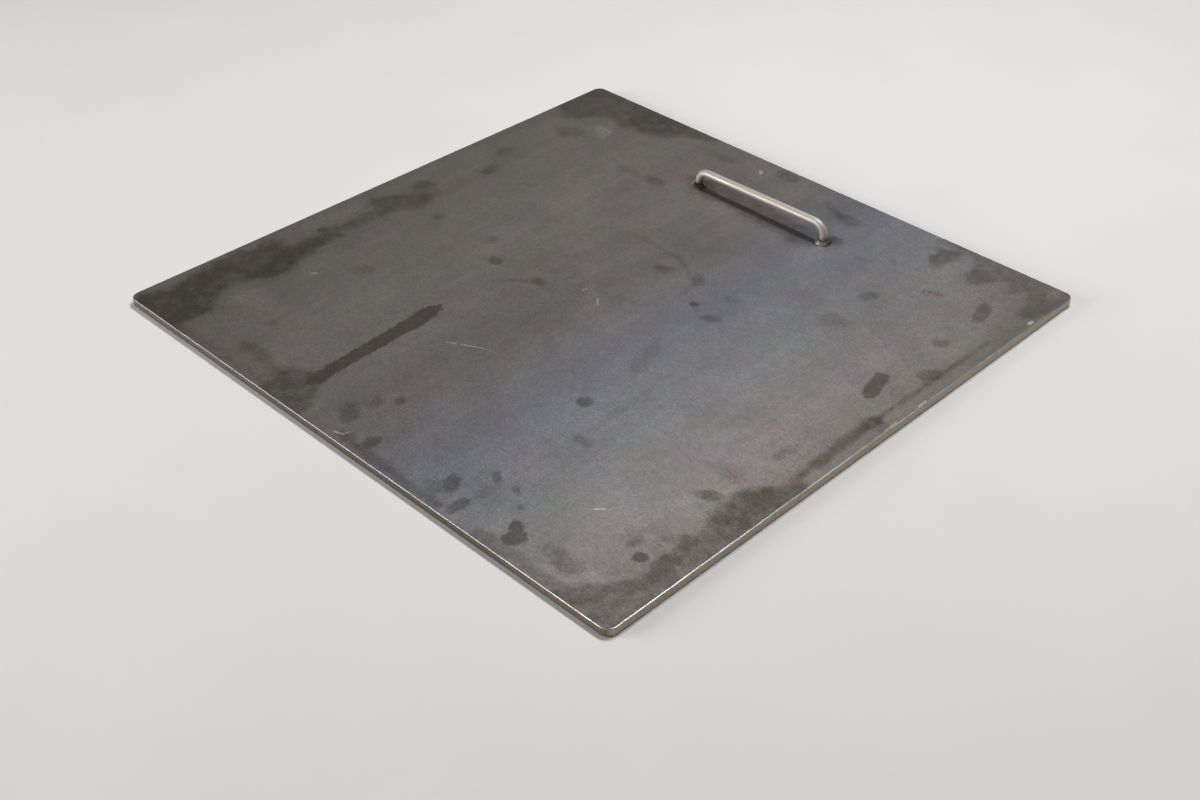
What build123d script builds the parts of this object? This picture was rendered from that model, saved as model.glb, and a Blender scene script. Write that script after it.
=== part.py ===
from build123d import *
import os

# A square steel plate with a welded lifting handle made of bent round bar.
# Lengths are in millimetres. The origin is the middle of the plate's underside,
# +Z is up, and the handle stands near the +Y edge and runs along X.

# Plate
plate_side = 780.0
plate_thickness = 10.0
corner_radius = 12.0
edge_rounding = 1.0

# Handle: its middle between the two feet, and how far it stands from the +Y edge
handle_middle_x = 4.0
handle_edge_distance = 112.5
foot_spacing = 204.0
bar_diameter = 10.0
bend_radius = 16.0

# Height of the bar's centre line above the plate at each leg, one leg being longer
left_leg_height = 20.5
right_leg_height = 23.5

# Weld round each foot: how far it spreads on the plate, how far it climbs the leg
# and how much its face bulges
weld_reach = 6.0
weld_rise = 4.5
weld_bulge = 0.5

os.makedirs("parts", exist_ok=True)

bar_radius = bar_diameter / 2
handle_y = plate_side / 2 - handle_edge_distance
left_foot = Vector(handle_middle_x - foot_spacing / 2, handle_y, plate_thickness)
right_foot = Vector(handle_middle_x + foot_spacing / 2, handle_y, plate_thickness)

# Plate: a flame-cut square with small round corners and dressed upper and lower edges
with BuildPart() as plate:
    with BuildSketch():
        RectangleRounded(plate_side, plate_side, corner_radius)
    extrude(amount=plate_thickness)
    rims = plate.faces().filter_by(Axis.Z).edges()
    fillet(rims, radius=edge_rounding)
plate.part.label = "plate"

# Handle: one length of round bar, bent down at both ends in an upright plane through the feet
handle_plane = Plane(origin=left_foot, x_dir=(1, 0, 0), z_dir=(0, -1, 0))
with BuildPart() as handle:
    with BuildLine(handle_plane) as bar_line:
        FilletPolyline(
            (0, 0),
            (0, left_leg_height),
            (foot_spacing, right_leg_height),
            (foot_spacing, 0),
            radius=bend_radius,
        )
    with BuildSketch(Plane(origin=left_foot, z_dir=(0, 0, 1))):
        Circle(bar_radius)
    sweep(path=bar_line.wires()[0])
handle.part.label = "handle"


# Weld: a fillet of weld metal, turned round the leg's axis where the foot stands on the plate
def weld_bead(foot, label):
    middle_of_face = Vector(bar_radius + weld_reach / 2, weld_rise / 2)
    outward = Vector(weld_rise, weld_reach).normalized()
    crown = middle_of_face + outward * weld_bulge
    with BuildPart() as bead:
        with BuildSketch(Plane(origin=foot, x_dir=(1, 0, 0), z_dir=(0, -1, 0))):
            with BuildLine():
                Line((bar_radius, 0), (bar_radius + weld_reach, 0))
                ThreePointArc(
                    (bar_radius + weld_reach, 0),
                    (crown.X, crown.Y),
                    (bar_radius, weld_rise),
                )
                Line((bar_radius, weld_rise), (bar_radius, 0))
            make_face()
        revolve(axis=Axis(foot, (0, 0, 1)))
    bead.part.label = label
    return bead


handle_weld_left = weld_bead(left_foot, "handle_weld_left")
handle_weld_right = weld_bead(right_foot, "handle_weld_right")

export_step(plate.part, "parts/plate.step")
export_step(handle.part, "parts/handle.step")
export_step(handle_weld_left.part, "parts/handle_weld_left.step")
export_step(handle_weld_right.part, "parts/handle_weld_right.step")
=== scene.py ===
import math

import bmesh
import bpy
import numpy as np
from mathutils import Matrix, Vector, noise


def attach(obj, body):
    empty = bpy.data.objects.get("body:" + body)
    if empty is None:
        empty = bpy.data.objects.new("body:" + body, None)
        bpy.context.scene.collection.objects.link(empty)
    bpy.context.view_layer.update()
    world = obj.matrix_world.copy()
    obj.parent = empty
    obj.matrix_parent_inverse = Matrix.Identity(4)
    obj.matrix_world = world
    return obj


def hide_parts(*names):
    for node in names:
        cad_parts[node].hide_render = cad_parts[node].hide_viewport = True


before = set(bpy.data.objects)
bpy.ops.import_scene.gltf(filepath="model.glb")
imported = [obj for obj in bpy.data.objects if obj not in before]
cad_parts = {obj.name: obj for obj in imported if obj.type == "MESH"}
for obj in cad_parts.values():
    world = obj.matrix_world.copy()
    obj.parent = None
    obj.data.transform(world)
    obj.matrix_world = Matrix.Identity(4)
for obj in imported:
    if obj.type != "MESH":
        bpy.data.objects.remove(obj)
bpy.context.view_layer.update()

# A square steel plate lying on the floor, with a lifting handle of bent round bar.
# Lengths are in metres unless a name or comment says millimetres.

MM = 0.001

# Sizes repeated from the part's source
plate_side = 780 * MM
plate_thickness = 10 * MM
corner_radius = 12 * MM
edge_rounding = 1 * MM
handle_middle_x = 4 * MM
handle_edge_distance = 112.5 * MM
foot_spacing = 204 * MM
bar_diameter = 10 * MM
bend_radius = 16 * MM
left_leg_height = 20.5 * MM
right_leg_height = 23.5 * MM
weld_reach = 6 * MM
weld_rise = 4.5 * MM
weld_bulge = 0.5 * MM

half_side = plate_side / 2
bar_radius = bar_diameter / 2
handle_y = half_side - handle_edge_distance
left_foot = Vector((handle_middle_x - foot_spacing / 2, handle_y, plate_thickness))
right_foot = Vector((handle_middle_x + foot_spacing / 2, handle_y, plate_thickness))

# Camera: where it stands, the point on the top face it looks at, and how it is held
camera_place = Vector((1.10720, -1.13696, 1.04091))
camera_aim = Vector((0.13981, -0.14710, 0.010))
camera_right = Vector((0.7125, 0.7017, 0.0051))
camera_lens = 48.609


# ---------------------------------------------------------------- studio

# What the steel mirrors is white all round and duller overhead: from where to where the one gives
# way to the other, as the sine of the angle above level, and how white it is overhead
overhead_edge = (0.06, 0.40)
overhead_white = 0.12

# The even light from all round
daylight = 0.10

# Soft panels: name, place, the point that each one faces, width along x, height and power
lamps = (
    ("key_lamp", (0.15, 1.05, 2.70), (0.15, 0.10, 0.0), 1.6, 0.5, 78.0),
    ("front_lamp", (-1.70, -2.60, 0.80), (0.0, 0.0, 0.0), 1.8, 1.4, 96.0),
)

# Floor: half its side, how far it lies below the plate, and from where to where, going outwards,
# the camera comes to see it as evenly lit
floor_half_side = 8.0
floor_drop = 0.2 * MM
floor_lit = (1.2, 2.3)


def set_camera():
    look = (camera_aim - camera_place).normalized()
    right = (camera_right - look * camera_right.dot(look)).normalized()
    up = right.cross(look)
    turned = Matrix((right, up, -look)).transposed().to_4x4()
    lens = bpy.data.cameras.new("camera")
    lens.lens = camera_lens
    lens.sensor_width = 36.0
    lens.sensor_fit = "HORIZONTAL"
    lens.clip_end = 50.0
    camera = bpy.data.objects.new("camera", lens)
    camera.matrix_world = Matrix.Translation(camera_place) @ turned
    bpy.context.scene.collection.objects.link(camera)
    bpy.context.scene.camera = camera


def hang_lamp(name, place, aim, width, height, power):
    """A soft panel; its width lies along x."""
    lamp = bpy.data.lights.new(name, "AREA")
    lamp.shape = "RECTANGLE"
    lamp.size = width
    lamp.size_y = height
    lamp.energy = power
    hung = bpy.data.objects.new(name, lamp)
    hung.location = place
    hung.rotation_euler = (Vector(aim) - Vector(place)).to_track_quat("-Z", "Y").to_euler()
    bpy.context.scene.collection.objects.link(hung)
    return hung


def set_daylight(strength):
    """Even light on the object, and white all round but duller overhead for the steel to mirror."""
    world = bpy.data.worlds.new("studio")
    bpy.context.scene.world = world
    world.use_nodes = True
    recipe = world.node_tree
    recipe.nodes.clear()
    path = add(recipe, "ShaderNodeLightPath")
    seen = calc(recipe, "MAXIMUM", path.outputs["Is Camera Ray"], path.outputs["Is Glossy Ray"])
    seen = calc(recipe, "MAXIMUM", seen, path.outputs["Is Transmission Ray"])
    even = add(recipe, "ShaderNodeBackground", {"Color": (1, 1, 1, 1), "Strength": strength})
    way = add(recipe, "ShaderNodeTexCoord").outputs["Generated"]
    rise = add(recipe, "ShaderNodeSeparateXYZ", {0: way}).outputs[2]
    surround = fade(recipe, rise, *overhead_edge, 1.0, overhead_white)
    surround = calc(recipe, "MAXIMUM", surround, path.outputs["Is Camera Ray"])
    white = add(recipe, "ShaderNodeBackground", {"Color": (1, 1, 1, 1), "Strength": surround})
    both = add(recipe, "ShaderNodeMixShader", {0: seen, 1: even.outputs[0], 2: white.outputs[0]})
    add(recipe, "ShaderNodeOutputWorld", {"Surface": both.outputs[0]})


# ---------------------------------------------------------------- material helpers

def tone(red, green, blue):
    """A colour given as on a screen, 0 to 255, as the shader wants it."""
    linear = []
    for value in (red, green, blue):
        share = value / 255
        linear.append(share / 12.92 if share <= 0.04045 else ((share + 0.055) / 1.055) ** 2.4)
    return (*linear, 1.0)


def add(recipe, kind, values=None, **choices):
    node = recipe.nodes.new(kind)
    for name, choice in choices.items():
        setattr(node, name, choice)
    for name, value in (values or {}).items():
        socket = node.inputs[name]
        if isinstance(value, bpy.types.NodeSocket):
            recipe.links.new(value, socket)
        else:
            socket.default_value = value
    return node


def calc(recipe, operation, first, second=0.0, third=0.0):
    node = add(recipe, "ShaderNodeMath", {0: first, 1: second, 2: third}, operation=operation)
    return node.outputs[0]


def fade(recipe, value, low, high, at_low=0.0, at_high=1.0):
    """Goes smoothly from at_low to at_high while value goes from low to high."""
    values = {"Value": value, "From Min": low, "From Max": high, "To Min": at_low, "To Max": at_high}
    node = add(recipe, "ShaderNodeMapRange", values, interpolation_type="SMOOTHSTEP", clamp=False)
    return node.outputs["Result"]


def fade_straight(recipe, value, low, high, at_low=0.0, at_high=1.0):
    """The same, but straight."""
    values = {"Value": value, "From Min": low, "From Max": high, "To Min": at_low, "To Max": at_high}
    return add(recipe, "ShaderNodeMapRange", values).outputs["Result"]


def vary(recipe, field, low, high, change):
    """A factor about 1 that follows a cloudy field, and is least and most by this change."""
    return fade_straight(recipe, field, low, high, 1.0 - change, 1.0 + change)


def mix(recipe, share, under, over, blend="MIX"):
    node = add(recipe, "ShaderNodeMix", {0: share, 6: under, 7: over}, data_type="RGBA", blend_type=blend)
    return node.outputs[2]


def grain(recipe, place, scale, detail=3.0, roughness=0.5, stretch=None):
    """A cloudy field of 0 to 1 about 0.5; stretch makes it longer along an axis."""
    if stretch:
        place = add(recipe, "ShaderNodeMapping", {"Vector": place, "Scale": stretch}).outputs[0]
    values = {"Vector": place, "Scale": scale, "Detail": detail, "Roughness": roughness}
    return add(recipe, "ShaderNodeTexNoise", values).outputs[0]


def stir(recipe, place, scale, amount):
    """The same place, pushed about by up to amount, so that outlines come out ragged."""
    swirl = add(recipe, "ShaderNodeTexNoise", {"Vector": place, "Scale": scale, "Detail": 3.0}).outputs[1]
    centred = add(recipe, "ShaderNodeVectorMath", {0: swirl, 1: (0.5, 0.5, 0.5)}, operation="SUBTRACT")
    push = add(recipe, "ShaderNodeVectorMath", {0: centred.outputs[0], 3: amount * 2}, operation="SCALE")
    moved = add(recipe, "ShaderNodeVectorMath", {0: place, 1: push.outputs[0]}, operation="ADD")
    return moved.outputs[0]


def grey(recipe, value):
    return add(recipe, "ShaderNodeCombineXYZ", {0: value, 1: value, 2: value}).outputs[0]


def set_stops(ramp, stops):
    elements = ramp.color_ramp.elements
    elements[0].position, elements[0].color = stops[0]
    elements[-1].position, elements[-1].color = stops[-1]
    for position, colour in stops[1:-1]:
        elements.new(position).color = colour


def new_material(name):
    material = bpy.data.materials.new(name)
    material.use_nodes = True
    material.node_tree.nodes.clear()
    return material, material.node_tree


def painted(recipe, name):
    """The three parts of an attribute laid on the piece's points."""
    layer = add(recipe, "ShaderNodeAttribute", attribute_name=name).outputs["Vector"]
    return add(recipe, "ShaderNodeSeparateXYZ", {0: layer}).outputs


def finish_shader(recipe, colour, metal, dull, normal):
    values = {"Base Color": colour, "Metallic": metal, "Roughness": dull, "Normal": normal}
    shader = add(recipe, "ShaderNodeBsdfPrincipled", values)
    add(recipe, "ShaderNodeOutputMaterial", {"Surface": shader.outputs[0]})


# ---------------------------------------------------------------- marks on the top face

# The marks are painted on the plate's own points, in millimetres from the plate's middle.
# Depth 1 is as dark, or as pale, as the darkest run of dried oil.

# Round and oval marks: x, y, half length, half width, turn of the length from the
# x axis in degrees, depth, softness of the outline in millimetres

crisp_spots = (
    (-146, -36, 10, 9, 0, 0.74, 2.0),
    (131, -161, 10, 9, 20, 0.68, 2.0),
    (341, -297, 9, 8, 0, 1.00, 2.0),
    (87, 62, 6, 5, 0, 0.70, 2.0),
    (187, -312, 7, 4, 140, 0.62, 2.0),
    (208, -327, 4, 4, 0, 0.50, 2.0),
    (158, -312, 11, 5, 145, 0.62, 2.0),
    (163, -368, 14, 8, 90, 0.66, 2.5),
    (133, -350, 14, 9, 130, 0.64, 2.5),
    (25, -365, 13, 8, 80, 0.66, 2.5),
    (333, 283, 24, 9, 108, 0.56, 2.0),
)

soft_spots = (
    (322, -287, 8, 6, 80, 0.42, 4.0),
    (-275, -16, 8, 7, 0, 0.40, 4.0),
    (-184, -4, 15, 10, 60, 0.34, 5.0),
    (8, 93, 12, 9, 40, 0.62, 4.0),
    (58, 104, 13, 8, 130, 0.46, 4.0),
    (122, 54, 12, 8, 20, 0.44, 4.0),
    (112, 99, 9, 7, 0, 0.30, 4.0),
    (222, 221, 12, 9, 60, 0.42, 4.0),
    (334, 199, 11, 8, 20, 0.46, 4.0),
    (160, 278, 8, 4, 0, 0.42, 3.0),
    (80, 245, 9, 6, 150, 0.28, 4.0),
    (-144, 244, 13, 9, 10, 0.58, 4.0),
    (-190, 238, 16, 6, 10, 0.34, 4.0),
    (-318, 112, 16, 9, 100, 0.56, 4.0),
    (-343, 158, 16, 9, 110, 0.40, 4.0),
    (-10, -299, 9, 7, 120, 0.52, 3.0),
    (-26, -318, 10, 7, 100, 0.46, 4.0),
    (-243, -163, 17, 11, 60, 0.22, 4.0),
    (-91, -45, 20, 5, 42, 0.34, 4.0),
    (-77, -31, 11, 8, 0, 0.60, 3.0),
    (-55, -33, 14, 6, -20, 0.30, 4.0),
    (-120, 355, 18, 9, 10, 0.34, 5.0),
    (-28, 375, 16, 10, 160, 0.44, 5.0),
    (95, 341, 18, 10, 160, 0.46, 4.0),
    (72, 346, 16, 6, 160, 0.44, 4.0),
    (328, -183, 15, 8, 35, 0.66, 2.5),
    (337, -80, 13, 5, 80, 0.40, 4.0),
    (176, -211, 12, 7, 10, 0.42, 4.0),
    (119, -52, 36, 10, 105, 0.30, 6.0),
    (165, -332, 15, 7, 100, 0.32, 4.0),
    (292, -351, 24, 12, 170, 0.54, 5.0),
    (4, -378, 16, 7, 170, 0.58, 4.0),
    (-31, -349, 18, 11, 150, 0.50, 4.0),
    (-183, -352, 32, 8, 175, 0.34, 5.0),
    (-225, -305, 9, 6, 0, 0.26, 4.0),
    # Dark places at the handle's feet: heat tint, made darker by painted shade of the legs and welds
    (117, 285, 15, 11, 120, 0.34, 5.0),
    (-109, 284, 12, 9, 0, 0.80, 5.0),
    (-88, 280, 12, 9, 0, 0.90, 4.0),
    (112, 290, 10, 7, 0, 0.60, 4.0),
    (352, -264, 14, 22, 0, 0.44, 6.0),
    (336, -322, 30, 16, 10, 0.28, 8.0),
    (366, -290, 9, 34, 0, 0.30, 6.0),
    (-315, -365, 16, 22, 0, 0.24, 8.0),
    (-90, 20, 60, 40, 20, 0.10, 25.0),
    (-20, -90, 40, 70, 0, 0.12, 25.0),
    (20, -230, 30, 90, 0, 0.08, 20.0),
    (222, 152, 15, 10, 30, 0.16, 5.0),
    (322, -272, 12, 36, 0, 0.30, 8.0),
    (312, -142, 24, 10, 0, 0.22, 6.0),
    (268, -360, 24, 10, 0, 0.26, 6.0),
    (122, -366, 14, 9, 0, 0.36, 5.0),
    (-200, -360, 64, 15, 0, 0.20, 8.0),
    (-150, -362, 12, 16, 0, 0.20, 6.0),
    (-320, 262, 17, 14, 40, 0.42, 5.0),
    (372, 22, 17, 12, 20, 0.34, 4.0),
    (362, 138, 15, 11, 60, 0.50, 4.0),
    (358, -245, 10, 6, 20, 0.56, 3.0),
    (352, 70, 8, 26, 0, 0.14, 6.0),
    (-250, -60, 60, 40, 20, 0.06, 20.0),
    (40, 180, 90, 45, 10, 0.05, 25.0),
    (-90, 120, 90, 60, 0, 0.04, 25.0),
)

# Long marks of even width: x and y of both ends, half width, depth, softness
soft_lines = (
    (372, 238, 369, 30, 3.0, 0.50, 2.5),
    (369, 30, 371, -104, 6.5, 0.72, 3.5),
    (-66, 127, 5, 126, 2.5, 0.32, 3.5),
    (5, 126, 30, 114, 2.5, 0.30, 4.0),
    (30, 114, 58, 92, 2.5, 0.24, 4.0),
    (58, 92, 64, 60, 3.0, 0.20, 4.0),
    (-175, -46, -130, -18, 3.0, 0.24, 4.0),
    (-36, -215, -36, -330, 4.0, 0.20, 6.0),
    (166, -90, 168, -165, 3.0, 0.22, 5.0),
    (20, -380, 150, -383, 6.0, 0.50, 4.0),
    (206, -383, 322, -382, 8.0, 0.55, 4.0),
    (-288, -384, -150, -385, 8.0, 0.34, 6.0),
    # The wide strip under the handle's bar is painted shade: it darkens the plate below the bar, about the
    # bar's shadow
    (-84, 276, 92, 276, 21.0, 0.66, 10.0),
)

# Larger stains: depth, softness, and the outline as the corners met going round it
drip_run = (1.0, 2.0, (
    (-119, -143), (-112, -150), (-107, -165), (-104, -180), (-101, -192), (-104, -205), (-102, -225),
    (-101, -250), (-100, -275), (-99, -300), (-97, -322), (-93, -342), (-104, -352), (-113, -342),
    (-115, -325), (-117, -305), (-118, -285), (-120, -265), (-121, -240), (-123, -215), (-126, -190),
    (-129, -172), (-127, -158), (-123, -150),
))
thumb_print = (0.84, 2.0, (
    (318, 102), (324, 107), (333, 106), (337, 98), (340, 85), (345, 70), (344, 60), (338, 55),
    (331, 58), (326, 70), (321, 88),
))
near_edge_pool = (0.94, 2.5, (
    (216, -344), (227, -341), (236, -348), (248, -354), (247, -366), (238, -376), (228, -374), (226, -360),
))
top_smudge = (0.60, 3.5, (
    (214, 366), (226, 372), (238, 378), (248, 366), (244, 350), (240, 338), (246, 324), (236, 321),
    (222, 330), (216, 346), (222, 356),
))
crisp_outlines = (drip_run, thumb_print, near_edge_pool)

soft_outlines = (
    (0.92, 10.0, (
        (-349, -135), (-330, -128), (-322, -150), (-316, -180), (-311, -205), (-302, -230), (-306, -250),
        (-318, -272), (-326, -292), (-322, -306), (-308, -318), (-300, -335), (-297, -350), (-294, -372),
        (-290, -400), (-378, -400), (-376, -300), (-380, -205), (-374, -198), (-362, -190), (-354, -200),
        (-350, -175),
    )),
    (0.22, 12.0, (
        (-372, -315), (-350, -305), (-333, -320), (-330, -350), (-318, -372), (-325, -388), (-370, -384),
    )),
    (0.66, 9.0, (
        (-350, -140), (-347, -95), (-352, -62), (-376, -52), (-384, -44), (-362, -36), (-352, -20),
        (-350, -2), (-358, 10), (-360, 25), (-340, 36), (-325, 20), (-308, 0), (-299, -12), (-312, -30),
        (-325, -42), (-326, -70), (-322, -100), (-326, -135),
    )),
    (0.68, 9.0, (
        (-400, 400), (-160, 400), (-172, 375), (-195, 362), (-214, 345), (-236, 334), (-262, 326),
        (-285, 320), (-300, 328), (-318, 332), (-330, 322), (-342, 300), (-356, 288), (-372, 300),
        (-400, 310),
    )),
    (0.56, 7.0, (
        (-290, 400), (-208, 400), (-214, 370), (-232, 346), (-258, 332), (-284, 338), (-292, 360),
    )),
    (0.68, 8.0, (
        (-142, -345), (-130, -338), (-116, -336), (-96, -338), (-86, -352), (-76, -368), (-68, -384),
        (-68, -400), (-140, -400), (-136, -372), (-146, -358),
    )),
    (0.76, 6.0, (
        (400, -98), (380, -100), (372, -112), (366, -126), (358, -138), (343, -158), (341, -180),
        (346, -200), (353, -222), (364, -240), (360, -252), (357, -268), (357, -290), (359, -310),
        (356, -326), (347, -344), (334, -356), (322, -370), (318, -400), (400, -400),
    )),
    (0.40, 4.0, (
        (366, -130), (358, -142), (352, -158), (352, -180), (358, -204), (368, -222), (382, -220),
        (380, -130),
    )),
    (0.44, 7.0, (
        (400, 400), (210, 400), (206, 380), (252, 378), (266, 368), (274, 352), (276, 336), (286, 326),
        (294, 330), (304, 345), (318, 352), (332, 338), (345, 350), (356, 340), (358, 322), (370, 306),
        (382, 314), (386, 334), (400, 340),
    )),
    (0.22, 5.0, ((272, 360), (276, 336), (286, 326), (296, 334), (304, 352), (292, 364))),
    top_smudge,
)

# Pale rubbed places: set out as the round marks
pale_scuffs = (
    (-293, 297, 15, 8, 165, 0.75, 5.0),
    (-279, 284, 8, 5, 150, 0.60, 4.0),
    (-290, -290, 26, 18, 30, 0.24, 12.0),
    (-300, -303, 13, 5, 40, 0.55, 5.0),
    (372, 376, 14, 7, 100, 0.60, 5.0),
    (240, 326, 22, 5, 160, 0.40, 5.0),
    (316, -200, 13, 6, 60, 0.45, 6.0),
    (346, -270, 16, 4, 0, 0.50, 4.0),
    (-372, -110, 16, 50, 0, 0.18, 14.0),
    (300, -260, 14, 90, 0, 0.16, 14.0),
    (262, -360, 22, 10, 10, 0.30, 7.0),
    (250, 20, 60, 50, 0, 0.08, 30.0),
    (112, 265, 4, 3, 0, 0.90, 2.0),
    (-10, -5, 17, 6, -38, 0.34, 5.0),
)

rust_spots = (
    (262, 273, 11, 5, 20, 1.00, 4.0),
    (276, 282, 8, 4, 20, 1.00, 3.0),
    (224, 150, 17, 12, 30, 0.44, 6.0),
    (325, -143, 12, 10, 130, 0.34, 5.0),
    (338, 48, 12, 8, 60, 0.24, 6.0),
    (-120, 272, 15, 9, 100, 0.22, 6.0),
    (-215, -350, 14, 8, 100, 0.14, 6.0),
    (240, -75, 12, 10, 0, 0.14, 6.0),
)

# Scratches and nicks down to bright metal: x and y of both ends, half width, strength, softness
scratches = (
    (-58, -191, -48, -186, 0.8, 0.45, 0.7),
    (-42, -182, -20, -170, 0.8, 0.60, 0.7),
    (-16, -169, 3, -166, 0.5, 0.25, 0.8),
    (261, -278, 268, -271, 1.2, 0.75, 0.6),
    (-16, -380, -7, -377, 1.2, 0.70, 0.6),
    (-7, -377, -5, -370, 0.8, 0.55, 0.6),
    (-64, 362, -60, 357, 2.2, 0.60, 0.6),
    (384, 308, 384, 302, 2.0, 0.80, 0.5),
    (-25, -2, -26, -8, 1.1, 0.40, 0.7),
    (-1, -8, 9, -18, 1.2, 0.35, 0.8),
    (-279, -210, -277, -206, 1.4, 0.45, 0.7),
    (387, 96, 387, 84, 1.4, 0.45, 0.6),
    (387, 44, 387, 24, 1.2, 0.35, 0.6),
)


def inside_oval(x, y, mark):
    """How far each point lies inside an oval mark, in millimetres, and the mark's depth and softness."""
    middle_x, middle_y, half_length, half_width, turn, depth, softness = mark
    angle = math.radians(turn)
    along = (x - middle_x) * math.cos(angle) + (y - middle_y) * math.sin(angle)
    beside = (y - middle_y) * math.cos(angle) - (x - middle_x) * math.sin(angle)
    reach = np.hypot(along / half_length, beside / half_width)
    return (1.0 - reach) * min(half_length, half_width), depth, softness


def inside_line(x, y, mark):
    """The same for a long mark with round ends."""
    x1, y1, x2, y2, half_width, depth, softness = mark
    return half_width - apart(x, y, (x1, y1), (x2, y2)), depth, softness


def inside_outline(x, y, mark):
    """The same for a stain drawn by its outline."""
    depth, softness, corners = mark
    nearest = np.full(x.shape, 1e6)
    within = np.zeros(x.shape, bool)
    for first, second in zip(corners, corners[1:] + corners[:1]):
        nearest = np.minimum(nearest, apart(x, y, first, second))
        if first[1] == second[1]:
            continue
        straddles = (first[1] > y) != (second[1] > y)
        crossing = first[0] + (y - first[1]) * (second[0] - first[0]) / (second[1] - first[1])
        within ^= straddles & (x < crossing)
    return np.where(within, nearest, -nearest), depth, softness


def apart(x, y, first, second):
    """The distance of each point from a straight run between two places."""
    run_x = second[0] - first[0]
    run_y = second[1] - first[1]
    share = ((x - first[0]) * run_x + (y - first[1]) * run_y) / max(run_x ** 2 + run_y ** 2, 1e-9)
    share = np.clip(share, 0.0, 1.0)
    return np.hypot(x - first[0] - share * run_x, y - first[1] - share * run_y)


# Stains and painted shade that overlap deepen each other, each taking this share of its depth from what is
# left
overlap = 0.55

# How far an outline wanders, as a share of its softness
outline_wander = 0.9


def soaked(inside, depth, softness, wander):
    """A mark's depth at each point, fading over its softness about a wandering outline."""
    share = np.clip((inside + wander * softness * outline_wander) / softness * 0.5 + 0.5, 0.0, 1.0)
    return depth * share * share * (3.0 - 2.0 * share)


def deepest(x, y, marks, wander):
    """The depth at each point of the deepest of some oval marks."""
    depth = np.zeros(x.shape)
    for mark in marks:
        depth = np.maximum(depth, soaked(*inside_oval(x, y, mark), wander))
    return depth


def paint_marks(mesh):
    """Paints the soft marks as depths, and the crisp ones as distances that the material sharpens."""
    places = np.empty(len(mesh.vertices) * 3)
    mesh.vertices.foreach_get("co", places)
    places = places.reshape(-1, 3)
    x = places[:, 0] / MM
    y = places[:, 1] / MM
    wander = np.array([noise.noise(Vector(place) * 42) + 0.6 * noise.noise(Vector(place) * 110)
                       for place in places])
    clear = np.ones(x.shape)
    soft_kinds = ((soft_spots, inside_oval), (soft_lines, inside_line), (soft_outlines, inside_outline))
    for marks, inside in soft_kinds:
        for mark in marks:
            clear *= 1.0 - soaked(*inside(x, y, mark), wander) * overlap
    # The soft marks' depth holds the stains together with the painted shade under the handle and at its feet
    stain_and_shade = (1.0 - clear) / overlap
    lay(mesh, "soil_and_shade", (stain_and_shade, deepest(x, y, pale_scuffs, wander), deepest(x, y, rust_spots, wander)))

    edge = np.full(x.shape, -20.0)
    depth = np.zeros(x.shape)
    for marks, inside in ((crisp_spots, inside_oval), (crisp_outlines, inside_outline)):
        for mark in marks:
            distance, mark_depth, softness = inside(x, y, mark)
            nearer = distance > edge
            edge = np.where(nearer, distance, edge)
            depth = np.where(nearer, mark_depth, depth)
    lay(mesh, "crisp_marks", (edge, depth, np.zeros(x.shape)))


def lay(mesh, name, parts):
    layer = mesh.attributes.new(name, "FLOAT_VECTOR", "POINT")
    layer.data.foreach_set("vector", np.stack(parts, axis=1).astype(np.float32).ravel())


def line_mask(recipe, place, mark):
    """One scratch of even width with round ends."""
    x1, y1, x2, y2, half_width, strength, softness = mark
    run = Vector((x2 - x1, y2 - y1))
    half_run = run.length / 2 / half_width
    centred = add(recipe, "ShaderNodeMapping", {
        "Vector": place,
        "Location": ((x1 + x2) / 2 * MM, (y1 + y2) / 2 * MM, plate_thickness),
        "Rotation": (0.0, 0.0, math.atan2(run.y, run.x)),
        "Scale": (half_width * MM, half_width * MM, 1.0),
    }, vector_type="TEXTURE")
    split = add(recipe, "ShaderNodeSeparateXYZ", {0: centred.outputs[0]})
    held = add(recipe, "ShaderNodeClamp", {"Value": split.outputs[0], "Min": -half_run, "Max": half_run})
    past_end = calc(recipe, "SUBTRACT", split.outputs[0], held.outputs[0])
    offset = add(recipe, "ShaderNodeCombineXYZ", {0: past_end, 1: split.outputs[1]})
    far = add(recipe, "ShaderNodeVectorMath", {0: offset.outputs[0]}, operation="LENGTH")
    return fade(recipe, far.outputs["Value"], 1.0 - softness, 1.0 + softness, strength, 0.0)


# ---------------------------------------------------------------- plate steel

# The scale's colours from the left edge to the right one, lighter from the left towards the right partly as
# painted sheen
scale_bands_and_sheen = (
    (0.00, tone(108, 103, 98)),
    (0.10, tone(112, 107, 102)),
    (0.25, tone(119, 114, 110)),
    (0.50, tone(116, 111, 109)),
    (0.58, tone(115, 113, 116)),
    (0.635, tone(117, 117, 125)),
    (0.70, tone(123, 123, 128)),
    (0.80, tone(126, 125, 125)),
    (0.89, tone(128, 122, 122)),
    (0.95, tone(122, 117, 114)),
    (1.00, tone(114, 108, 103)),
)

# How strongly patches of the scale lean to one hue or another
tint_share = 0.16

# What a full stain lets through of the colour below it; painted shade darkens the plate the same way
stain_and_shade_filter = (0.52, 0.49, 0.45, 1.0)

# Crisp marks: how far their outlines are ragged, and from where to where they set in, in millimetres
crisp_rag = 2.6
crisp_edge = (-2.2, 2.0)

pale_dust = tone(196, 190, 182)
thin_rust = tone(108, 74, 58)
scratched_steel = tone(226, 224, 220)
worn_highlit_steel = tone(204, 200, 198)
cut_steel = (tone(116, 105, 94), tone(164, 152, 138))

# Painted light and shade on the cut sides: how much lighter or darker each one is than the plain one
right_side_painted_light = 0.36
front_side_painted_shade = 0.55
front_end_painted_shade = 0.34

# From where to where, going outwards, a point comes to lie on the right or the front side, and
# the front side's middle stretch and the part where its painted shade eases end, counted from the middle
side_reach = (half_side - 4 * MM, half_side - 2 * MM)
middle_stretch = (220 * MM, 280 * MM)
painted_shade_stretch = (220 * MM, 300 * MM)

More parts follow.
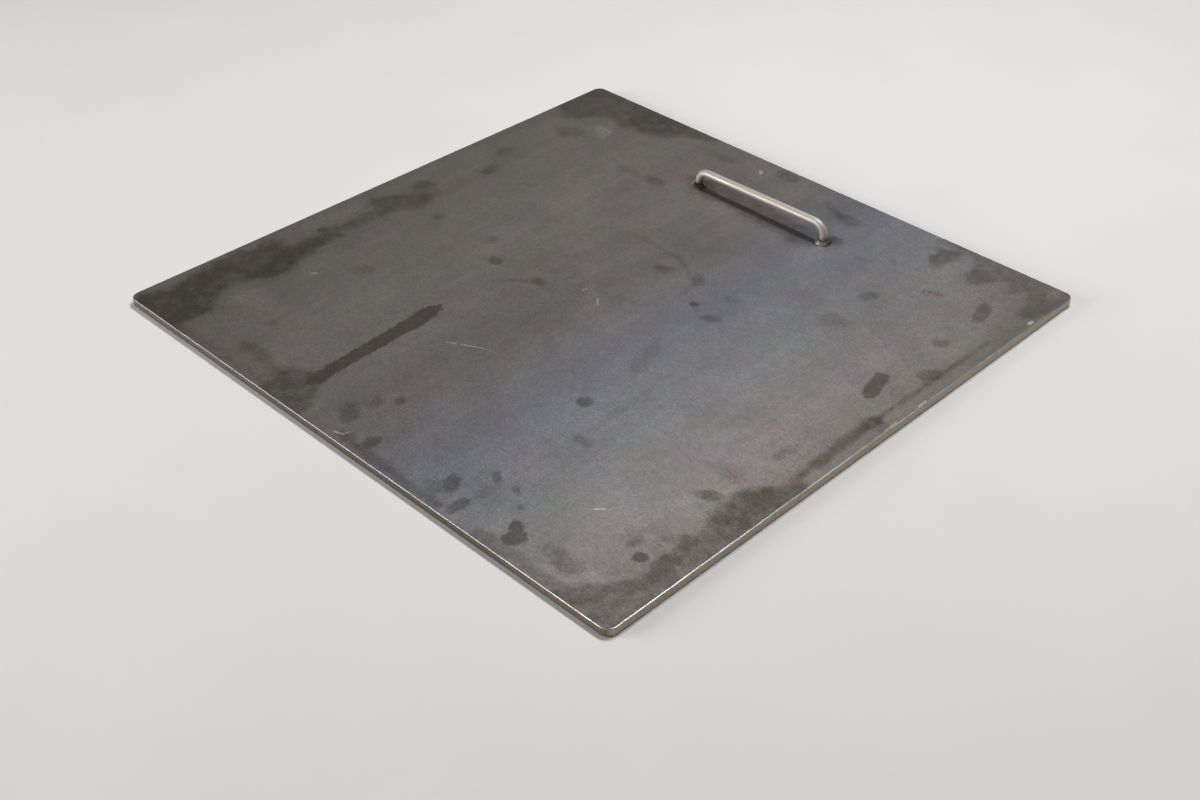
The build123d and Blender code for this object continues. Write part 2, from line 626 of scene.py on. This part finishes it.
# Worn edge with its painted highlight: how wide it is on the top face, there on the right side, and how far
# it wanders
arris_width = 0.8 * MM
right_arris_width = 1.8 * MM
arris_wander = 0.3 * MM


def plate_steel():
    material, recipe = new_material("mill_scale_steel")
    coordinates = add(recipe, "ShaderNodeTexCoord")
    place = coordinates.outputs["Object"]
    facing = add(recipe, "ShaderNodeSeparateXYZ", {0: coordinates.outputs["Normal"]}).outputs[2]
    on_top = fade(recipe, facing, 0.75, 0.97)
    soil_and_shade = painted(recipe, "soil_and_shade")
    fine = grain(recipe, place, scale=420.0, roughness=0.65)

    dark = stain_and_shade_depth(recipe, place, soil_and_shade[0], on_top)
    colour = scale_colour(recipe, place, fine)
    colour = mix(recipe, dark, colour, mix(recipe, 1.0, colour, stain_and_shade_filter, "MULTIPLY"))
    colour = rubbed(recipe, place, colour, soil_and_shade, on_top)
    bare = scratched(recipe, place, on_top)
    colour = mix(recipe, bare, colour, scratched_steel)

    sides = near_sides(recipe, place)
    side_grain = grain(recipe, place, scale=500.0, detail=4.0, roughness=0.6, stretch=(1.0, 1.0, 0.08))
    side_colour = mix(recipe, side_grain, *cut_steel)
    # The cut sides' colour, with painted light on the right one and painted shade on the front one
    side_colour = mix(recipe, 1.0, side_colour, grey(recipe, painted_side_light(recipe, place, sides)), "MULTIPLY")
    side_share = fade(recipe, calc(recipe, "ABSOLUTE", facing), 0.25, 0.75, 1.0, 0.0)
    colour = mix(recipe, side_share, colour, side_colour)
    worn_and_highlit = worn_highlit_arris(recipe, place, facing, sides)
    colour = mix(recipe, worn_and_highlit, colour, worn_highlit_steel)

    # Mostly metal under thin scale, and smoother under stains and painted shade and on the worn edge with its
    # painted highlight
    metal = calc(recipe, "MAXIMUM", calc(recipe, "MAXIMUM", worn_and_highlit, bare), 0.60)
    dull = fade_straight(recipe, fine, 0.2, 0.8, 0.34, 0.46)
    dull = calc(recipe, "SUBTRACT", dull, calc(recipe, "MULTIPLY", dark, 0.08))
    dull = calc(recipe, "SUBTRACT", dull, calc(recipe, "MULTIPLY", worn_and_highlit, 0.12))
    height = calc(recipe, "MULTIPLY_ADD", fine, 0.25, grain(recipe, place, scale=60.0))
    height = calc(recipe, "MULTIPLY_ADD", side_grain, side_share, height)
    bump = add(recipe, "ShaderNodeBump", {"Height": height, "Strength": 0.35, "Distance": 0.3 * MM})
    finish_shader(recipe, colour, metal, dull, bump.outputs[0])
    return material


def scale_colour(recipe, place, fine):
    """Rolled scale: bands that run along y, lighter from the left towards the right partly as painted sheen,
    patches of hue, clouds, rolling streaks and a fine grain.
    """
    drifting = stir(recipe, place, 4.0, 12 * MM)
    across = add(recipe, "ShaderNodeSeparateXYZ", {0: drifting}).outputs[0]
    bands = add(recipe, "ShaderNodeValToRGB", {0: fade_straight(recipe, across, -half_side, half_side)})
    set_stops(bands, scale_bands_and_sheen)
    tints = add(recipe, "ShaderNodeTexNoise", {"Vector": place, "Scale": 22.0, "Detail": 3.0}).outputs[1]
    colour = mix(recipe, tint_share, bands.outputs[0], tints, "MULTIPLY")

    clouds = grain(recipe, place, scale=14.0, detail=6.0, roughness=0.68)
    rolled = grain(recipe, place, scale=60.0, roughness=0.6, stretch=(1.0, 0.06, 1.0))
    streaks = grain(recipe, drifting, scale=26.0, roughness=0.6, stretch=(1.0, 0.07, 1.0))
    mottle = grain(recipe, place, scale=120.0, detail=4.0, roughness=0.7)
    # The hues are half grey on average, so what they take is given back
    shade = 1.0 / (1.0 - tint_share * 0.5)
    for field, low, high, change in ((clouds, 0.25, 0.75, 0.14), (rolled, 0.2, 0.8, 0.07),
                                     (streaks, 0.3, 0.7, 0.06), (mottle, 0.3, 0.7, 0.09),
                                     (fine, 0.25, 0.75, 0.26)):
        shade = calc(recipe, "MULTIPLY", shade, vary(recipe, field, low, high, change))
    return mix(recipe, 1.0, colour, grey(recipe, shade), "MULTIPLY")


def stain_and_shade_depth(recipe, place, soft_depth, on_top):
    """How dark the stains and the painted shade are: the painted depths, and the crisp marks with their
    ragged outlines.
    """
    crisp = painted(recipe, "crisp_marks")
    rag = grain(recipe, place, scale=170.0, detail=4.0, roughness=0.65)
    rag = fade_straight(recipe, rag, 0.25, 0.75, -crisp_rag, crisp_rag)
    set_in = fade(recipe, calc(recipe, "ADD", crisp[0], rag), *crisp_edge)
    patchy = grain(recipe, place, scale=70.0, detail=5.0, roughness=0.65)
    crisp_depth = calc(recipe, "MULTIPLY", set_in, crisp[1])
    crisp_depth = calc(recipe, "MULTIPLY", crisp_depth, fade_straight(recipe, patchy, 0.3, 0.7, 0.80, 1.14))
    depth = calc(recipe, "MULTIPLY", soft_depth, fade_straight(recipe, patchy, 0.3, 0.7, 0.55, 1.40))
    depth = calc(recipe, "MAXIMUM", depth, crisp_depth)
    return calc(recipe, "MINIMUM", calc(recipe, "MULTIPLY", depth, on_top), 1.0)


def rubbed(recipe, place, colour, soil_and_shade, on_top):
    """The colour with its pale scuffs and its little rust, both speckled."""
    speckle = fade(recipe, grain(recipe, place, scale=300.0, detail=4.0, roughness=0.7), 0.40, 0.62)
    speckle = calc(recipe, "MULTIPLY", speckle, on_top)
    scuffs = calc(recipe, "MULTIPLY", calc(recipe, "MULTIPLY", soil_and_shade[1], speckle), 0.5)
    colour = mix(recipe, scuffs, colour, pale_dust)
    return mix(recipe, calc(recipe, "MULTIPLY", soil_and_shade[2], speckle), colour, thin_rust)


def scratched(recipe, place, on_top):
    """Where scratches and nicks lay the metal bare, broken along their length."""
    bare = 0.0
    for scratch in scratches:
        bare = calc(recipe, "MAXIMUM", bare, line_mask(recipe, place, scratch))
    broken = fade(recipe, grain(recipe, place, scale=700.0, detail=2.0), 0.35, 0.6)
    return calc(recipe, "MULTIPLY", bare, calc(recipe, "MULTIPLY", broken, on_top))


def near_sides(recipe, place):
    """Masks of the right side, of the front one and of the front one's middle stretch."""
    split = add(recipe, "ShaderNodeSeparateXYZ", {0: place})
    right = fade_straight(recipe, split.outputs[0], *side_reach)
    front = fade_straight(recipe, split.outputs[1], -side_reach[1], -side_reach[0], 1.0, 0.0)
    off_middle = calc(recipe, "ABSOLUTE", split.outputs[0])
    middle = calc(recipe, "MULTIPLY", front, fade(recipe, off_middle, *middle_stretch, 1.0, 0.0))
    return right, front, middle


def painted_side_light(recipe, place, sides):
    """Painted light and shade on the cut sides: the right one lighter, the front one darker but for its near
    end.
    """
    along = add(recipe, "ShaderNodeSeparateXYZ", {0: place}).outputs[0]
    painted_shade = fade_straight(recipe, along, *painted_shade_stretch, front_side_painted_shade, front_end_painted_shade)
    level = calc(recipe, "MULTIPLY_ADD", sides[0], right_side_painted_light, 1.0)
    return calc(recipe, "SUBTRACT", level, calc(recipe, "MULTIPLY", sides[1], painted_shade))


def worn_highlit_arris(recipe, place, facing, sides):
    """Bright metal on the rounded upper edge, worn and partly a painted highlight, with a ragged strip of
    wear on the top beside it.
    """
    wander = grain(recipe, place, scale=60.0, roughness=0.6)
    wander = fade_straight(recipe, wander, 0.3, 0.7, -arris_wander, arris_wander)
    width = fade_straight(recipe, sides[0], 0.0, 1.0, arris_width, right_arris_width)
    inset = calc(recipe, "SUBTRACT", inset_from_outline(recipe, place), wander)
    strip = fade(recipe, calc(recipe, "SUBTRACT", inset, width), -0.2 * MM, 0.3 * MM, 1.0, 0.0)
    strip = calc(recipe, "MULTIPLY", strip, fade(recipe, facing, 0.10, 0.45))
    chips = fade(recipe, grain(recipe, place, scale=26.0, detail=4.0, roughness=0.6), 0.35, 0.60, 0.55, 1.0)
    return calc(recipe, "MULTIPLY", strip, calc(recipe, "MULTIPLY", chips, arris_wear_and_highlight(recipe, place, sides)))


def inset_from_outline(recipe, place):
    """How far in from the outline a point lies, round corners included, and no more than their radius."""
    straight_part = half_side - corner_radius
    folded = add(recipe, "ShaderNodeVectorMath", {0: place}, operation="ABSOLUTE").outputs[0]
    past = add(recipe, "ShaderNodeVectorMath", {0: folded, 1: (straight_part, straight_part, 1.0)},
               operation="SUBTRACT").outputs[0]
    past = add(recipe, "ShaderNodeVectorMath", {0: past, 1: (0.0, 0.0, 0.0)}, operation="MAXIMUM").outputs[0]
    reach = add(recipe, "ShaderNodeVectorMath", {0: past}, operation="LENGTH").outputs["Value"]
    return calc(recipe, "SUBTRACT", corner_radius, reach)


def arris_wear_and_highlight(recipe, place, sides):
    """How bright the worn edge is, laid out as a painted highlight: most in the right side's near half, least
    in the front's middle.
    """
    right, front, middle = sides
    split = add(recipe, "ShaderNodeSeparateXYZ", {0: place})
    x = split.outputs[0]
    y = split.outputs[1]
    wear_and_highlight = fade_straight(recipe, calc(recipe, "SUBTRACT", x, y), -half_side, plate_side, 0.26, 0.42)
    near_half = fade(recipe, y, -385 * MM, -220 * MM, 0.0, 0.55)
    near_half = calc(recipe, "MULTIPLY", near_half, fade(recipe, y, -190 * MM, -130 * MM, 1.0, 0.30))
    near_half = calc(recipe, "MULTIPLY", near_half, fade(recipe, y, -40 * MM, 40 * MM, 1.0, 0.15))
    wear_and_highlight = calc(recipe, "MULTIPLY_ADD", right, near_half, wear_and_highlight)
    front_end = fade_straight(recipe, x, 240 * MM, 330 * MM, 0.0, 0.28)
    wear_and_highlight = calc(recipe, "MULTIPLY_ADD", front, front_end, wear_and_highlight)
    return calc(recipe, "SUBTRACT", wear_and_highlight, calc(recipe, "MULTIPLY", middle, 0.18))


# ---------------------------------------------------------------- other materials

# Where the bar's heat tint sets in above the plate, going down
heat_tint = (4 * MM, 11 * MM)


def handle_steel():
    """Bare drawn bar: fine lines along its length, a few duller patches, tint near the welds."""
    material, recipe = new_material("bare_bar_steel")
    along = add(recipe, "ShaderNodeAttribute", attribute_name="along_bar").outputs["Vector"]
    lines = grain(recipe, along, scale=900.0, detail=4.0, roughness=0.6, stretch=(1.0, 1.0, 0.02))
    patches = grain(recipe, along, scale=60.0, detail=4.0, roughness=0.6, stretch=(1.0, 1.0, 0.4))
    colour = mix(recipe, lines, tone(164, 157, 150), tone(188, 181, 174))
    colour = mix(recipe, fade(recipe, patches, 0.5, 0.75, 0.0, 0.45), colour, tone(176, 166, 156))
    place = add(recipe, "ShaderNodeTexCoord").outputs["Object"]
    height = add(recipe, "ShaderNodeSeparateXYZ", {0: place}).outputs[2]
    rise = calc(recipe, "SUBTRACT", height, plate_thickness)
    colour = mix(recipe, fade(recipe, rise, *heat_tint, 0.75, 0.0), colour, tone(122, 104, 90))
    dull = fade_straight(recipe, patches, 0.3, 0.7, 0.50, 0.60)
    bump = add(recipe, "ShaderNodeBump", {"Height": lines, "Strength": 0.12, "Distance": 0.1 * MM})
    finish_shader(recipe, colour, 0.62, dull, bump.outputs[0])
    return material


def weld_metal():
    """Dark lumpy weld, darker still as painted shade away from its lit side, scorched in places, and pale on
    one side as a painted highlight.
    """
    material, recipe = new_material("laid_weld_metal")
    place = add(recipe, "ShaderNodeTexCoord").outputs["Object"]
    lumps = grain(recipe, place, scale=260.0, detail=4.0, roughness=0.6)
    colour = mix(recipe, fade(recipe, lumps, 0.3, 0.7), tone(38, 35, 31), tone(66, 60, 54))
    scorched = grain(recipe, place, scale=120.0, detail=2.0)
    colour = mix(recipe, fade(recipe, scorched, 0.5, 0.7, 0.0, 0.6), colour, tone(72, 52, 40))
    painted_highlight = add(recipe, "ShaderNodeAttribute", attribute_name="painted_highlight").outputs["Fac"]
    # The pale side is a painted highlight; the dark lumps away from it are partly painted shade
    colour = mix(recipe, fade(recipe, painted_highlight, 0.1, 0.8, 0.0, 0.85), colour, tone(112, 108, 105))
    colour = mix(recipe, fade(recipe, painted_highlight, 0.96, 1.0, 0.0, 0.9), colour, tone(186, 177, 166))
    dull = fade_straight(recipe, lumps, 0.3, 0.7, 0.65, 0.50)
    bump = add(recipe, "ShaderNodeBump", {"Height": lumps, "Strength": 0.4, "Distance": 0.3 * MM})
    finish_shader(recipe, colour, 0.4, dull, bump.outputs[0])
    return material


def floor_paint():
    """Plain pale paint. Far out, where the lamps don't reach, the camera sees it lit as well."""
    material, recipe = new_material("floor_paint")
    place = add(recipe, "ShaderNodeTexCoord").outputs["Object"]
    mottle = grain(recipe, place, scale=6.0, detail=4.0)
    colour = mix(recipe, mottle, tone(208, 207, 205), tone(214, 213, 211))
    paint = add(recipe, "ShaderNodeBsdfPrincipled", {"Base Color": colour, "Roughness": 0.9})
    lit = add(recipe, "ShaderNodeEmission", {"Color": colour, "Strength": 1.0})
    out = add(recipe, "ShaderNodeVectorMath", {0: place}, operation="LENGTH").outputs["Value"]
    seen = add(recipe, "ShaderNodeLightPath").outputs["Is Camera Ray"]
    share = calc(recipe, "MULTIPLY", seen, fade(recipe, out, *floor_lit))
    both = add(recipe, "ShaderNodeMixShader", {0: share, 1: paint.outputs[0], 2: lit.outputs[0]})
    add(recipe, "ShaderNodeOutputMaterial", {"Surface": both.outputs[0]})
    return material


# ---------------------------------------------------------------- pieces

def finish_piece(maker, name, material, node):
    """Turns the worked mesh into a piece that stands for a CAD node."""
    mesh = bpy.data.meshes.new(name)
    maker.to_mesh(mesh)
    maker.free()
    mesh.materials.append(material)
    piece = bpy.data.objects.new(name, mesh)
    bpy.context.scene.collection.objects.link(piece)
    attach(piece, "root")
    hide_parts(node)
    return piece


# Mesh of the plate: the strip beside its rounded edges, the steps of each rounding, the divisions
# of the top face, and how far from a corner's round and how often the outline is divided further
rim_strip = 1.6 * MM
rim_steps = 4
top_steps = 240
corner_margin = 3 * MM
corner_cuts = 3


def rim_profile():
    """The rim from the top face round to the underside: inset from the outline, and height."""
    profile = [(edge_rounding, plate_thickness)]
    for number in range(1, rim_steps + 1):
        angle = math.pi / 2 * number / rim_steps
        inset = edge_rounding * (1.0 - math.sin(angle))
        profile.append((inset, plate_thickness - edge_rounding * (1.0 - math.cos(angle))))
    profile.append((0.0, plate_thickness - rim_strip))
    profile.append((0.0, plate_thickness / 2))
    profile.append((0.0, rim_strip))
    for number in range(rim_steps + 1):
        angle = math.pi / 2 * number / rim_steps
        inset = edge_rounding * (1.0 - math.cos(angle))
        profile.append((inset, edge_rounding * (1.0 - math.sin(angle))))
    profile.append((rim_strip, 0.0))
    return profile


def outward(place):
    """The level direction out of the plate at a point of its rim."""
    straight_part = half_side - corner_radius
    past_x = max(0.0, abs(place.x) - straight_part)
    past_y = max(0.0, abs(place.y) - straight_part)
    way = Vector((math.copysign(past_x, place.x), math.copysign(past_y, place.y), 0.0))
    return way.normalized()


def round_corners(plate):
    """Divides the outline near the four corners and draws it onto their round."""
    straight_part = half_side - corner_radius
    margin = straight_part - corner_margin
    rim = [edge for edge in plate.edges if edge.is_boundary]
    near = [edge for edge in rim
            if all(min(abs(vert.co.x), abs(vert.co.y)) > margin for vert in edge.verts)]
    bmesh.ops.subdivide_edges(plate, edges=near, cuts=corner_cuts)
    for vert in plate.verts:
        if vert.is_boundary and min(abs(vert.co.x), abs(vert.co.y)) > straight_part:
            centre = Vector((math.copysign(straight_part, vert.co.x), math.copysign(straight_part, vert.co.y),
                             vert.co.z))
            vert.co = centre + (vert.co - centre).normalized() * (corner_radius - rim_strip)


def make_plate(material):
    plate = bmesh.new()
    bmesh.ops.create_grid(plate, x_segments=top_steps, y_segments=top_steps, size=half_side - rim_strip)
    bmesh.ops.translate(plate, verts=plate.verts, vec=(0, 0, plate_thickness))
    round_corners(plate)
    last_inset = rim_strip
    rim = [edge for edge in plate.edges if edge.is_boundary]
    for inset, height in rim_profile():
        grown = bmesh.ops.extrude_edge_only(plate, edges=rim)["geom"]
        verts = [item for item in grown if isinstance(item, bmesh.types.BMVert)]
        for vert in verts:
            vert.co += outward(vert.co) * (last_inset - inset)
            vert.co.z = height
        last_inset = inset
        rim = list({edge for vert in verts for edge in vert.link_edges if edge.is_boundary})
    bmesh.ops.holes_fill(plate, edges=rim, sides=0)
    bmesh.ops.recalc_face_normals(plate, faces=plate.faces)
    dress_edges(plate)
    for face in plate.faces:
        face.smooth = True
    piece = finish_piece(plate, "steel_plate", material, "plate")
    paint_marks(piece.data)
    return piece


# Wear of the plate's edges: its greatest depth and how far in it reaches, how far the top is
# hollowed and over what distance from the rim that sets in
edge_wear = 0.35 * MM
wear_reach = 2 * MM
top_hollow = 0.12 * MM
hollow_reach = 60 * MM


def dress_edges(plate):
    """Wears the rounded edges unevenly and lets the top wander a little, never outwards."""
    for vert in plate.verts:
        inset = half_side - max(abs(vert.co.x), abs(vert.co.y))
        if vert.co.z > plate_thickness - 0.01 * MM:
            hollow = 0.5 + 0.5 * noise.noise(vert.co * 5)
            vert.co.z -= top_hollow * hollow * min(1.0, max(0.0, inset - rim_strip) / hollow_reach)
        if inset > wear_reach:
            continue
        at_edge = 1.0 - inset / wear_reach
        slow = noise.noise(vert.co * 25)
        quick = noise.noise(vert.co * 160 + Vector((7, 3, 1)))
        nick = max(0.0, quick - 0.25) * 1.6
        depth = max(0.0, edge_wear * at_edge * (0.25 + 0.25 * slow + nick))
        vert.co -= outward(vert.co) * depth
        if vert.co.z > plate_thickness - 0.4 * MM:
            vert.co.z -= 0.12 * MM * at_edge * nick


# Mesh of the bar: the sides of its round, and the steps of the legs, of each bend and of the grip
bar_sides = 40
left_leg_steps = 2
right_leg_steps = 3
bend_steps = 14
grip_steps = 44


def grow(bar, ring, move, station, layer):
    """Carries the bar's open end on by one step and notes each new point's place along the bar."""
    grown = bmesh.ops.extrude_edge_only(bar, edges=ring)["geom"]
    verts = [item for item in grown if isinstance(item, bmesh.types.BMVert)]
    fresh = set(verts)
    bmesh.ops.transform(bar, verts=verts, matrix=move)
    for face in {face for vert in verts for face in vert.link_faces}:
        face.smooth = True
    ring = [edge for vert in verts for edge in vert.link_edges]
    ring = list({edge for edge in ring if edge.verts[0] in fresh and edge.verts[1] in fresh})
    station["frame"] = move @ station["frame"]
    back = station["frame"].inverted()
    for vert in verts:
        seat = back @ vert.co
        vert[layer] = (seat.x, seat.y, station["length"])
    return ring


def make_handle(material):
    bar = bmesh.new()
    layer = bar.verts.layers.float_vector.new("along_bar")
    bmesh.ops.create_circle(bar, cap_ends=False, radius=bar_radius, segments=bar_sides)
    for vert in bar.verts:
        vert[layer] = (vert.co.x, vert.co.y, 0.0)
    slope = math.atan2(right_leg_height - left_leg_height, foot_spacing)
    run = math.hypot(right_leg_height - left_leg_height, foot_spacing)
    left_bend = math.pi / 2 - slope
    right_bend = math.pi / 2 + slope
    left_tangent = bend_radius * math.tan(left_bend / 2)
    right_tangent = bend_radius * math.tan(right_bend / 2)
    station = {"frame": Matrix.Identity(4), "length": 0.0}
    ring = bar.edges[:]
    ring = straight(bar, ring, left_leg_height - left_tangent, left_leg_steps, station, layer)
    ring = bend(bar, ring, left_bend, bend_steps, station, layer)
    ring = straight(bar, ring, run - left_tangent - right_tangent, grip_steps, station, layer)
    ring = bend(bar, ring, right_bend, bend_steps, station, layer)
    straight(bar, ring, right_leg_height - right_tangent, right_leg_steps, station, layer)
    open_ends = [edge for edge in bar.edges if edge.is_boundary]
    bmesh.ops.holes_fill(bar, edges=open_ends, sides=0)
    bmesh.ops.recalc_face_normals(bar, faces=bar.faces)
    bmesh.ops.translate(bar, verts=bar.verts, vec=left_foot)
    return finish_piece(bar, "bent_bar_handle", material, "handle")


def straight(bar, ring, length, steps, station, layer):
    """A straight length of bar, along the way its open end points."""
    way = station["frame"].to_3x3() @ Vector((0, 0, 1))
    for _ in range(steps):
        station["length"] += length / steps
        ring = grow(bar, ring, Matrix.Translation(way * (length / steps)), station, layer)
    return ring


def bend(bar, ring, angle, steps, station, layer):
    """A bend of the bar to the right, about a centre beside its open end."""
    towards = station["frame"].to_3x3() @ Vector((1, 0, 0))
    centre = station["frame"].translation + towards * bend_radius
    turn = Matrix.Rotation(angle / steps, 4, "Y")
    move = Matrix.Translation(centre) @ turn @ Matrix.Translation(-centre)
    for _ in range(steps):
        station["length"] += bend_radius * angle / steps
        ring = grow(bar, ring, move, station, layer)
    return ring


# Weld beads: how far they reach into the bar, the steps of their face and round the leg,
# and the number of ripples round the leg
weld_overlap = 0.2 * MM
weld_face_steps = 6
weld_turn_steps = 96
weld_ripples = 17

# The ways in which each bead's turn began and its side with the painted highlight faces, as angles from the x
# axis
left_turn_start = math.pi
left_highlight_side = math.pi
right_turn_start = math.radians(-66)
right_highlight_side = math.radians(-100)


def weld_outline():
    """Half the bead cut through: flat on the plate, a bulging face, and up the leg."""
    inner = bar_radius - weld_overlap
    toe = bar_radius + weld_reach
    outline = [Vector((inner, 0, 0)), Vector((toe, 0, 0))]
    for number in range(1, weld_face_steps + 1):
        share = number / weld_face_steps
        bulge = weld_bulge * 4 * share * (1 - share)
        out = toe - weld_reach * share + bulge * 0.6
        outline.append(Vector((out, 0, weld_rise * share + bulge * 0.8)))
    outline.append(Vector((inner, 0, weld_rise)))
    return outline


def make_weld(name, node, foot, turn_start, highlight_side, material):
    """A hand-laid bead round one foot: a fillet spun round the leg, then rippled and lumped."""
    bead = bmesh.new()
    verts = [bead.verts.new(point) for point in weld_outline()]
    edges = [bead.edges.new((verts[n], verts[(n + 1) % len(verts)])) for n in range(len(verts))]
    bmesh.ops.spin(bead, geom=verts + edges, cent=(0, 0, 0), axis=(0, 0, 1), dvec=(0, 0, 0),
                   angle=math.tau, steps=weld_turn_steps, use_merge=True, use_duplicate=False)
    bmesh.ops.remove_doubles(bead, verts=bead.verts, dist=1e-6)
    bmesh.ops.recalc_face_normals(bead, faces=bead.faces)
    ripple(bead, turn_start, highlight_side)
    for face in bead.faces:
        face.smooth = True
    bmesh.ops.translate(bead, verts=bead.verts, vec=foot)
    return finish_piece(bead, name, material, node)


def ripple(bead, turn_start, highlight_side):
    """Ripples and lumps the bead's face, swells it where the turn began and notes its side with the painted
    highlight.
    """
    layer = bead.verts.layers.float.new("painted_highlight")
    for vert in bead.verts:
        around = math.atan2(vert.co.y, vert.co.x)
        out = math.hypot(vert.co.x, vert.co.y)
        share = (out - bar_radius) / weld_reach
        if share <= 0.05:
            continue
        vert[layer] = max(0.0, math.cos(around - highlight_side)) * min(1.0, share * 3.0)
        lump = noise.noise(vert.co * 260 + Vector((turn_start, 0, 0)))
        wave = math.sin(around * weld_ripples + share * 2.2)
        start = max(0.0, math.cos(around - turn_start))
        swell = 1.0 + 0.06 * wave + 0.22 * lump + 0.16 * start ** 6
        reach = bar_radius + (out - bar_radius) * min(1.0, 0.90 * swell)
        vert.co.x *= reach / out
        vert.co.y *= reach / out
        vert.co.z = max(0.0, vert.co.z * (0.9 + 0.10 * wave + 0.25 * lump))


def lay_floor():
    floor = bmesh.new()
    bmesh.ops.create_grid(floor, x_segments=8, y_segments=8, size=floor_half_side)
    bmesh.ops.translate(floor, verts=floor.verts, vec=(0, 0, -floor_drop))
    mesh = bpy.data.meshes.new("floor")
    floor.to_mesh(mesh)
    floor.free()
    mesh.materials.append(floor_paint())
    laid = bpy.data.objects.new("floor", mesh)
    bpy.context.scene.collection.objects.link(laid)


# ---------------------------------------------------------------- the whole

bpy.context.scene.view_settings.view_transform = "Standard"
set_camera()
set_daylight(daylight)
for lamp in lamps:
    hang_lamp(*lamp)
lay_floor()

make_plate(plate_steel())
make_handle(handle_steel())
weld_finish = weld_metal()
make_weld("left_weld_bead", "handle_weld_left", left_foot, left_turn_start, left_highlight_side, weld_finish)
make_weld("right_weld_bead", "handle_weld_right", right_foot, right_turn_start, right_highlight_side, weld_finish)
